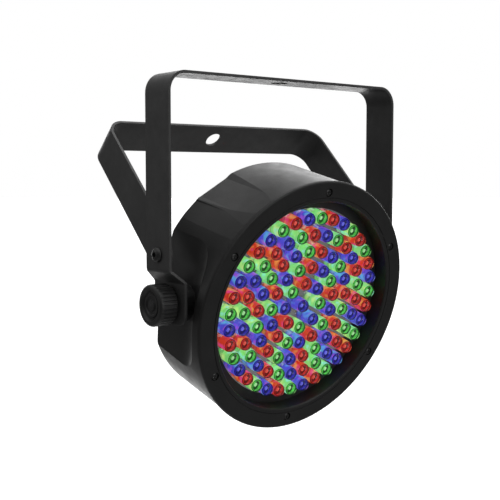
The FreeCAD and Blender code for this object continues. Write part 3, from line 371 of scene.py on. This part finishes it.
def mesh_of(name, made, smooth=True):
    """Turns a finished bmesh into a mesh with outward normals."""
    bmesh.ops.remove_doubles(made, verts=made.verts[:], dist=1e-7)
    bmesh.ops.recalc_face_normals(made, faces=made.faces[:])
    for face in made.faces:
        face.smooth = smooth
    mesh = bpy.data.meshes.new(name)
    made.to_mesh(mesh)
    made.free()
    return mesh


def arc(centre, radius, start, stop, steps):
    """(radius, along) points of an arc in a lathe's half plane; degrees from the outward direction."""
    points = []
    for i in range(steps + 1):
        angle = math.radians(start + (stop - start) * i / steps)
        points.append((centre[0] + radius * math.cos(angle), centre[1] + radius * math.sin(angle)))
    return points


def turn(made, profile, at, segments):
    """Adds a solid turned about the Y axis through at; profile is (radius, y) in millimetres."""
    x0, z0 = at
    rings = []
    for radius, along in profile:
        if radius == 0:
            rings.append([made.verts.new((x0, along * MM, z0))])
            continue
        ring = []
        for i in range(segments):
            angle = 2 * math.pi * i / segments
            dx, dz = radius * MM * math.cos(angle), radius * MM * math.sin(angle)
            ring.append(made.verts.new((x0 + dx, along * MM, z0 + dz)))
        rings.append(ring)
    for one, two in zip(rings, rings[1:]):
        for i in range(segments):
            j = (i + 1) % segments
            corners = [one[i % len(one)], one[j % len(one)], two[j % len(two)], two[i % len(two)]]
            made.faces.new(list(dict.fromkeys(corners)))


def slab(made, corners, low, high):
    """Adds an upright prism: (x, z) corners, from y = low to y = high, all in millimetres."""
    near, far = ([made.verts.new((x * MM, y * MM, z * MM)) for x, z in corners] for y in (low, high))
    made.faces.new(near)
    made.faces.new(far)
    for i in range(len(corners)):
        j = (i + 1) % len(corners)
        made.faces.new((near[i], near[j], far[j], far[i]))


def rounded_rectangle(centre, size, radius, steps=5):
    """(x, z) corners of a rectangle with rounded corners."""
    points = []
    for quarter, (sx, sz) in enumerate(((1, 1), (-1, 1), (-1, -1), (1, -1))):
        x = centre[0] + sx * (size[0] / 2 - radius)
        z = centre[1] + sz * (size[1] / 2 - radius)
        for i in range(steps + 1):
            angle = math.radians(90 * (quarter + i / steps))
            points.append((x + radius * math.cos(angle), z + radius * math.sin(angle)))
    return points


def outline(made, centre, size, radius, width, low, high):
    """Adds a thin frame of the given width round a rounded rectangle."""
    outer = rounded_rectangle(centre, size, radius)
    inner = rounded_rectangle(centre, (size[0] - 2 * width, size[1] - 2 * width), radius - width)
    for i in range(len(outer)):
        j = (i + 1) % len(outer)
        corners = (outer[i], outer[j], inner[j], inner[i])
        near, far = ([made.verts.new((x * MM, y * MM, z * MM)) for x, z in corners] for y in (low, high))
        made.faces.new(near)
        made.faces.new(far)
        made.faces.new((near[0], near[1], far[1], far[0]))
        made.faces.new((near[3], near[2], far[2], far[3]))


# ---- LEDs -----------------------------------------------------------------------------------

LEAST_LED = 6 * MM                  # islands narrower than this aren't an LED's body


def led_centres(node):
    """(x, z) of each LED of a CAD node, in the lamp head's frame, from the islands of its mesh."""
    work = bmesh.new()
    work.from_mesh(NODES[node].data)
    left = set(work.verts)
    centres = {}
    while left:
        island = [left.pop()]
        for vertex in island:
            for edge in vertex.link_edges:
                other = edge.other_vert(vertex)
                if other in left:
                    left.remove(other)
                    island.append(other)
        points = [TO_HEAD @ v.co for v in island]
        x = (min(p.x for p in points) + max(p.x for p in points)) / 2
        z = (min(p.z for p in points) + max(p.z for p in points)) / 2
        if max(p.x for p in points) - min(p.x for p in points) > LEAST_LED:
            centres[(round(x / MM), round(z / MM))] = (x, z)
    work.free()
    return [centres[key] for key in sorted(centres)]


LED_LOW, LED_HIGH = head_box("red_leds")
LED_TIP = LED_LOW.y / MM            # dome tips
LED_BASE = LED_HIGH.y / MM          # where the LEDs stand on their board
LED_R = 5.0
LED_FLANGE_R = 5.6
LED_FLANGE = 1.0
LED_CENTRE = LED_TIP + LED_R        # centre of each dome
SKIN = 0.35                         # clear epoxy over the glowing body
CUP_Y = LED_CENTRE                  # rim of the reflector cup
CHIP_R = 0.7                        # outer edge of the bright chip
CUP_R = 1.85                        # outer edge of the cup's dark rim
FACE_R = 2.95                       # outer edge of the lit face round the cup
GROOVE_R = 3.55                     # outer edge of the thin dark line round the face
GROOVE = 0.5                        # depth of the barrel's front behind the face
INNER_DEPTH = 1.2                   # how far the face, cup and chip reach back
BEVEL = 0.1                         # small steps that break an LED's sharp edges
CUP_TALL = 1.4                      # how the cup is drawn out upright by the dome
CUP_LEAN = 0.3                      # how far its top leans over
LED_STRENGTH = 0.56                 # emission of every lit piece of an LED


def epoxy(name, colour):
    """Clear tinted epoxy with faint flow streaks."""
    made = Surface(name, specular=0.5, Transmission_Weight=1.0, IOR=1.42)
    streaks = made.noise(1.6, 3.0)
    pale = tuple(0.62 + 0.38 * c for c in colour)
    strong = tuple(0.42 + 0.56 * c for c in colour)
    made.colour(made.mix(made.scale(streaks, 0.0, 1.0), strong, pale))
    made.roughness(made.scale(streaks, 0.0, 0.05))
    return made.material


def glow(name, colour, strength, spread=0.35, mottle=1.5, painted_reflections=()):
    """Lit epoxy: emission with a soft mottling of the given size, and patches of neighbouring LEDs' colours (the
    last argument) mixed in as a painted reflection of their light.
    """
    made = Surface(name, specular=0.3)
    cloud = made.noise(mottle, 3.0, 0.6)
    dim = tuple(c * (1 - spread) for c in colour)
    shade = made.mix(made.scale(cloud, 0.0, 1.0, 0.35, 0.65), dim, colour)
    drift = made.noise(11.0, 1.0)
    shade = made.mix(made.scale(drift, 0.0, 0.5, 0.5, 0.72), shade, dim)
    # painted reflection: patches of the neighbouring LEDs' colours mixed into this piece's emission
    for size, painted_reflection in zip((7.0, 5.0), painted_reflections):
        shade = made.mix(made.scale(made.noise(size, 1.0), 0.0, 0.85, 0.52, 0.66), shade, painted_reflection)
    made.colour(shade)
    made.link(shade, made.shader.inputs["Emission Color"])
    made.shader.inputs["Emission Strength"].default_value = strength
    made.shader.inputs["Roughness"].default_value = 0.5
    return made.material


# light of each LED's barrel, face, shoulder, cup and chip, and the tint of its epoxy; the last entry holds the
# neighbouring LEDs' colours painted onto the barrel as their reflected light
LED_LIGHT = {
    "red": dict(barrel=(0.85, 0.085, 0.040), face=(0.66, 0.040, 0.034), shoulder=(0.20, 0.008, 0.007),
                cup=(0.15, 0.006, 0.006), chip=(0.95, 0.16, 0.12), tint=(1.0, 0.35, 0.30),
                painted_reflections=((0.90, 0.10, 0.42), (0.92, 0.50, 0.12))),
    "green": dict(barrel=(0.40, 1.0, 0.34), face=(0.13, 0.72, 0.12), shoulder=(0.010, 0.11, 0.012),
                  cup=(0.008, 0.08, 0.010), chip=(0.62, 1.0, 0.55), tint=(0.45, 1.0, 0.45),
                  painted_reflections=((0.78, 0.98, 0.38), (0.40, 0.95, 0.85))),
    "blue": dict(barrel=(0.15, 0.14, 0.85), face=(0.055, 0.048, 0.56), shoulder=(0.014, 0.012, 0.17),
                 cup=(0.012, 0.010, 0.14), chip=(0.24, 0.25, 0.95), tint=(0.38, 0.40, 1.0),
                 painted_reflections=((0.18, 0.62, 0.92), (0.52, 0.14, 0.80))),
}

# how much darker the darkest patches of each piece are
SPREAD = {"barrel": 0.3, "shoulder": 0.5, "face": 0.55, "cup": 0.4, "chip": 0.3}


def led_profiles():
    """Turned outlines of one LED's pieces: (radius, y) in millimetres."""
    core = LED_R - SKIN
    foot = LED_BASE - 0.4               # the glowing barrel ends just above the board
    front = CUP_Y + GROOVE
    bowl = CUP_Y + 0.5
    back = CUP_Y + INNER_DEPTH
    lens = [(0, LED_TIP)] + arc((0, LED_CENTRE), LED_R, -82, 0, 11)
    lens += [(LED_R, LED_BASE - LED_FLANGE), (LED_FLANGE_R, LED_BASE - LED_FLANGE + BEVEL),
             (LED_FLANGE_R, LED_BASE - BEVEL), (LED_FLANGE_R - BEVEL, LED_BASE), (0, LED_BASE)]
    barrel = [(0, front), (GROOVE_R, front), (GROOVE_R, CUP_Y + BEVEL), (core - 0.25, CUP_Y + 2 * BEVEL),
              (core, front + 2 * BEVEL), (core, foot), (0, foot)]
    shoulder = [(FACE_R, CUP_Y), (GROOVE_R, CUP_Y + BEVEL), (GROOVE_R, front), (FACE_R, front),
                (FACE_R, CUP_Y)]
    face = [(CUP_R, CUP_Y)] + arc(((CUP_R + FACE_R) / 2, CUP_Y), (FACE_R - CUP_R) / 2, -150, -30, 4)
    face += [(FACE_R, CUP_Y), (FACE_R, back), (CUP_R, back), (CUP_R, CUP_Y)]
    cup = [(CHIP_R, bowl), (CUP_R, CUP_Y), (CUP_R, back), (CHIP_R, back), (CHIP_R, bowl)]
    chip = [(0, CUP_Y - 0.3), (CHIP_R - 0.2, CUP_Y - 0.2), (CHIP_R, CUP_Y), (CHIP_R, back), (0, back)]
    return {"lens": lens, "barrel": barrel, "shoulder": shoulder, "face": face, "cup": cup, "chip": chip}


def draw_out(place, at):
    """Makes the round cup tall and slanted, with the face's outer edge left round."""
    x, z = place.x - at[0], place.z - at[1]
    share = (FACE_R * MM - math.hypot(x, z)) / ((FACE_R - CUP_R) * MM)
    share = min(1.0, max(0.0, share))
    place.x += share * CUP_LEAN * z
    place.z += share * (CUP_TALL - 1) * z


LENS_SEGMENTS = 32
INNER_SEGMENTS = 24


def build_leds(colour):
    """Builds every LED of one colour, one object for each kind of piece."""
    light = LED_LIGHT[colour]
    places = led_centres(colour + "_leds")
    for part_name, profile in led_profiles().items():
        work = bmesh.new()
        for at in places:
            made_before = len(work.verts)
            turn(work, profile, at, LENS_SEGMENTS if part_name == "lens" else INNER_SEGMENTS)
            if part_name in ("face", "cup", "chip"):
                work.verts.ensure_lookup_table()
                for vertex in work.verts[made_before:]:
                    draw_out(vertex.co, at)
        name = colour + "_led_" + part_name
        if part_name == "lens":
            material = epoxy(name, light["tint"])
        else:
            # only the barrel carries the painted reflection of its neighbours' light
            painted_reflections = light["painted_reflections"] if part_name == "barrel" else ()
            material = glow(name, light[part_name], LED_STRENGTH, SPREAD[part_name], 1.2, painted_reflections)
        piece = add_piece(name, mesh_of(name, work), "head", material)
        if part_name == "lens":
            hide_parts(colour + "_leds")


for led_colour in LED_LIGHT:
    build_leds(led_colour)


# ---- marks of the rear panel ----------------------------------------------------------------

def printed(name, level=0.62):
    """Screen-printed ink: matt, slightly uneven."""
    made = Surface(name, specular=0.25)
    grain = made.noise(0.3, 3.0, 0.6)
    made.colour(made.mix(made.scale(grain, 0.0, 1.0), grey(level * 0.85), grey(level)))
    made.roughness(made.scale(grain, 0.55, 0.75))
    made.bump(grain, 0.01, 0.4)
    return made.material


INK = printed("panel_ink")
KEY_INK = printed("key_ink", 0.75)


def middle_of(node):
    """(x, z) of a node's middle and the y of its rear face, in millimetres in the head's frame."""
    low, high = head_box(node)
    return ((low.x + high.x) / 2 / MM, (low.z + high.z) / 2 / MM), high.y / MM


def key_mark(kind, x, z):
    """(x, z) corners of the raised marks of one key: three bars, a dot or an arrowhead."""
    if kind == "menu":
        return [rounded_rectangle((x, z + dz), (3.4, 0.5), 0.2, 2) for dz in (-1.0, 0.0, 1.0)]
    if kind == "enter":
        dot_r = 1.1
        return [[(x + dot_r * math.cos(math.radians(a)), z + dot_r * math.sin(math.radians(a)))
                 for a in range(0, 360, 20)]]
    way = 1 if kind == "up" else -1
    return [[(x - 1.5, z - way * 0.9), (x + 1.5, z - way * 0.9), (x, z + way * 1.2)]]


SUNK = 0.1                          # how far each print or mark reaches into its surface
KEY_MARK_RISE = 0.15


for kind in ("menu", "up", "down", "enter"):
    (key_x, key_z), key_face = middle_of(kind + "_button")
    work = bmesh.new()
    for corners in key_mark(kind, key_x, key_z):
        slab(work, corners, key_face - SUNK, key_face + KEY_MARK_RISE)
    add_piece(kind + "_mark", mesh_of(kind + "_mark", work, False), kind + "_key", KEY_INK)

# seven-segment digits on the display, read from behind the light
DIGIT_W = 4.4
DIGIT_H = 8.4
BAR = 0.95                          # width of a segment
BAR_GAP = 0.25                      # from a segment's tip to the digit's corner
DIGIT_LEAN = 1.1
DIGIT_PITCH = 7.2
PRINT_RISE = 0.04
SEGMENT_ENDS = {
    "top": ((0, 1), (1, 1)), "middle": ((0, 0.5), (1, 0.5)), "bottom": ((0, 0), (1, 0)),
    "upper_left": ((0, 0.5), (0, 1)), "upper_right": ((1, 0.5), (1, 1)),
    "lower_left": ((0, 0), (0, 0.5)), "lower_right": ((1, 0), (1, 0.5)),
}
ZERO = set(SEGMENT_ENDS) - {"middle"}
ONE = {"upper_right", "lower_right"}
SHOWN = (set(), ZERO, ZERO, ONE)


def segment(start, end, x0, z0):
    """Pointed bar between two corners of a leaning digit; x runs to the reader's right."""
    points = []
    for u, v in (start, end):
        points.append(Vector(((u - 0.5) * DIGIT_W + (v - 0.5) * DIGIT_LEAN, (v - 0.5) * DIGIT_H)))
    along = (points[1] - points[0]).normalized()
    across = Vector((-along.y, along.x)) * BAR / 2
    first, last = points[0] + along * BAR_GAP, points[1] - along * BAR_GAP
    step = along * BAR / 2
    corners = [first, first + step + across, last - step + across, last, last - step - across,
               first + step - across]
    return [(x0 - p.x, z0 + p.y) for p in corners]


(screen_x, screen_z), screen_face = middle_of("display_module")
lit, unlit = bmesh.new(), bmesh.new()
for index, shown in enumerate(SHOWN):
    digit_x = screen_x - (index - 1.5) * DIGIT_PITCH
    for name, (start, end) in SEGMENT_ENDS.items():
        slab(lit if name in shown else unlit, segment(start, end, digit_x, screen_z),
             screen_face - SUNK, screen_face + PRINT_RISE)
add_piece("display_lit_segments", mesh_of("display_lit_segments", lit, False), "head",
          glow("lit_segments", (1.0, 0.05, 0.03), 3.0, 0.1))
add_piece("display_unlit_segments", mesh_of("display_unlit_segments", unlit, False), "head",
          moulded("unlit_segments", 0.09, 0.3, (0.3, 0.4), 0.4, 0.005, 0.1))

# thin printed frames round the controls and the sockets
FRAME_MARGIN = 2.4
FRAME_CORNER = 3.0
FRAME_LINE = 0.45
_, cover_face = middle_of("rear_cover")
print_work = bmesh.new()
FRAMED = {
    "controls": ["display_window", "menu_button", "up_button", "down_button", "enter_button"],
    "data": ["data_in_socket"], "data_link": ["data_out_socket"],
    "power": ["power_inlet"], "power_link": ["power_outlet"],
}
for nodes in FRAMED.values():
    boxes = [head_box(node) for node in nodes]
    low_x, low_z = (min(low[axis] for low, _ in boxes) / MM - FRAME_MARGIN for axis in (0, 2))
    high_x, high_z = (max(high[axis] for _, high in boxes) / MM + FRAME_MARGIN for axis in (0, 2))
    outline(print_work, ((low_x + high_x) / 2, (low_z + high_z) / 2), (high_x - low_x, high_z - low_z),
            FRAME_CORNER, FRAME_LINE, cover_face - 0.02, cover_face + PRINT_RISE)
add_piece("panel_print", mesh_of("panel_print", print_work, False), "head", INK)


# ---- camera and studio ----------------------------------------------------------------------

CAMERA_AT = Vector((-0.45623, -0.53200, -0.07175))
CAMERA_AZIMUTH = math.radians(38.84)
CAMERA_PITCH = math.radians(4.35)
CAMERA_LENS = 67.77                 # millimetres on a 36 mm wide sensor

camera = bpy.data.objects.new("camera", bpy.data.cameras.new("camera"))
bpy.context.scene.collection.objects.link(camera)
camera.data.lens = CAMERA_LENS
camera.data.sensor_width = 36.0
camera.location = CAMERA_AT
camera.rotation_euler = (math.radians(90) - CAMERA_PITCH, 0.0, -CAMERA_AZIMUTH)
bpy.context.scene.camera = camera

middle = (CAD_LOW + CAD_HIGH) / 2


def area_light(name, offset, size, power):
    """Soft box that looks at the middle of the light from offset metres away."""
    data = bpy.data.lights.new(name, "AREA")
    data.shape = "RECTANGLE"
    data.size, data.size_y = size
    data.energy = power
    lamp = bpy.data.objects.new(name, data)
    lamp.location = middle + Vector(offset)
    lamp.rotation_euler = (-Vector(offset)).to_track_quat("-Z", "Y").to_euler()
    bpy.context.scene.collection.objects.link(lamp)


area_light("top_box", (0.5, 0.0, 1.5), (1.6, 1.4), 12.0)
area_light("left_box", (-1.4, 1.2, 0.45), (0.9, 0.9), 1.6)
area_light("right_box", (1.9, 0.3, 0.4), (1.2, 1.6), 6.0)
area_light("front_fill", (0.3, -2.0, 0.3), (1.6, 1.2), 10.5)
area_light("floor_bounce", (0.2, 0.4, -1.5), (2.0, 1.6), 3.0)

# The room: white where the camera looks at it; as light it is dim in front, brighter above and
# below, and has a bright wall behind and to the right.
WALL_LIGHT = 3.7
WALL_WAY = (0.63, 0.78, 0.0)
WALL_START = 0.72                   # cosine to WALL_WAY at which the wall begins to brighten
world = bpy.data.worlds.new("studio")
bpy.context.scene.world = world
world.use_nodes = True
tree = world.node_tree
tree.nodes.clear()
direction = tree.nodes.new("ShaderNodeTexCoord")
height = tree.nodes.new("ShaderNodeSeparateXYZ")
tree.links.new(direction.outputs["Generated"], height.inputs["Vector"])
ramp = tree.nodes.new("ShaderNodeValToRGB")
lift = tree.nodes.new("ShaderNodeMapRange")
lift.inputs["From Min"].default_value = -1.0
tree.links.new(height.outputs["Z"], lift.inputs["Value"])
tree.links.new(lift.outputs["Result"], ramp.inputs["Fac"])
ramp.color_ramp.elements[0].color = (0.33, 0.33, 0.33, 1.0)
ramp.color_ramp.elements[1].color = (1.0, 1.0, 1.0, 1.0)
for position, level in ((0.38, 0.135), (0.52, 0.10), (0.70, 0.27)):
    ramp.color_ramp.elements.new(position).color = (level, level, level, 1.0)
towards = tree.nodes.new("ShaderNodeVectorMath")
towards.operation = "DOT_PRODUCT"
tree.links.new(direction.outputs["Generated"], towards.inputs[0])
towards.inputs[1].default_value = WALL_WAY
wall = tree.nodes.new("ShaderNodeMapRange")
wall.interpolation_type = "SMOOTHSTEP"
wall_range = {"From Min": WALL_START, "From Max": 1.0, "To Min": 0.0, "To Max": WALL_LIGHT}
for socket, number in wall_range.items():
    wall.inputs[socket].default_value = number
tree.links.new(towards.outputs["Value"], wall.inputs["Value"])
both = tree.nodes.new("ShaderNodeVectorMath")
tree.links.new(ramp.outputs["Color"], both.inputs[0])
tree.links.new(wall.outputs["Result"], both.inputs[1])
room_light = tree.nodes.new("ShaderNodeBackground")
tree.links.new(both.outputs["Vector"], room_light.inputs["Color"])
white = tree.nodes.new("ShaderNodeBackground")
white.inputs["Color"].default_value = (1.0, 1.0, 1.0, 1.0)
seen = tree.nodes.new("ShaderNodeLightPath")
either = tree.nodes.new("ShaderNodeMixShader")
tree.links.new(seen.outputs["Is Camera Ray"], either.inputs["Fac"])
tree.links.new(room_light.outputs["Background"], either.inputs[1])
tree.links.new(white.outputs["Background"], either.inputs[2])
output = tree.nodes.new("ShaderNodeOutputWorld")
tree.links.new(either.outputs["Shader"], output.inputs["Surface"])

FLOOR_DROP = 0.45                   # floor below the lowest point of the hanging light
FLOOR_R = 30.0
floor_mesh = bpy.data.meshes.new("floor")
floor_work = bmesh.new()
bmesh.ops.create_circle(floor_work, cap_ends=True, segments=96, radius=FLOOR_R)
floor_work.to_mesh(floor_mesh)
floor_work.free()
floor = bpy.data.objects.new("floor", floor_mesh)
floor.location = (middle.x, middle.y, CAD_LOW.z - FLOOR_DROP)
bpy.context.scene.collection.objects.link(floor)
paper = Surface("pale_floor", specular=0.1)
paper.colour(paper.mix(paper.scale(paper.noise(60.0, 3.0), 0.0, 1.0), grey(0.86), grey(0.9)))
paper.shader.inputs["Roughness"].default_value = 0.9
paper.shader.inputs["Emission Color"].default_value = (1.0, 1.0, 1.0, 1.0)
paper.shader.inputs["Emission Strength"].default_value = 0.75
floor_mesh.materials.append(paper.material)
floor.visible_glossy = False
floor.visible_diffuse = False
floor.visible_transmission = False

bpy.context.scene.view_settings.view_transform = "Standard"
